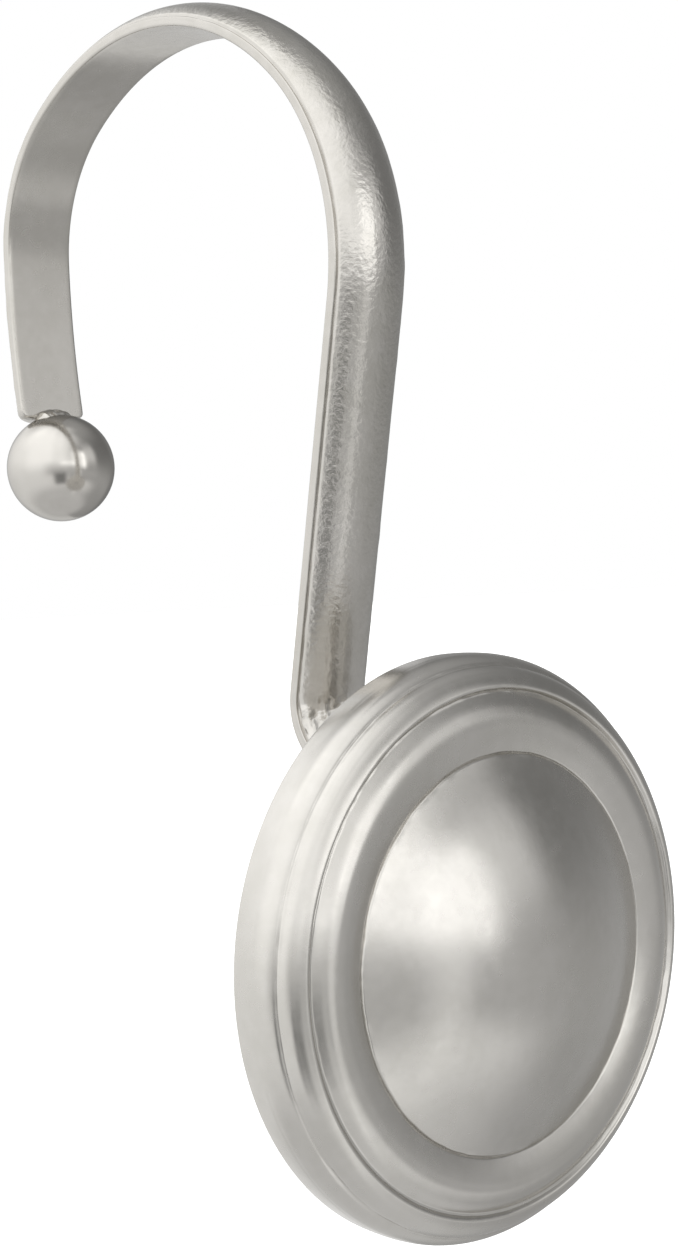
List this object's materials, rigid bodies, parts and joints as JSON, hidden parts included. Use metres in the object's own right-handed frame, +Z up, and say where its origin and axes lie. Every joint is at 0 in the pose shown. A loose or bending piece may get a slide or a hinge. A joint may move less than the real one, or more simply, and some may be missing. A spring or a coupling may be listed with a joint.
{
  "type": "curtain hook",
  "caption": "Ball-tipped open hook bent from a D-section band, with a stepped round domed medallion in front of its foot, for hanging a curtain on a round rail.",
  "frame": {"origin": "highest point of the band's inner face, in the middle of its width, where the rail bears", "axes": "+X along the rail across the band's width, -Y the way the medallion faces, +Z up along the medallion's face"},
  "size_m": [0.034, 0.0501, 0.0774],
  "materials": {
    "band": "satin nickel plated steel, faintly pebbled on the crowned face",
    "ball": "satin nickel plated steel, smooth",
    "medallion": "satin nickel plated casting, smooth",
    "filler": "plated weld filler"
  },
  "bodies": {
    "root": {"hook_band": "band", "ball_tip": "ball", "ball_weld": "filler", "medallion": "medallion", "medallion_weld": "filler"}
  },
  "joints": []
}
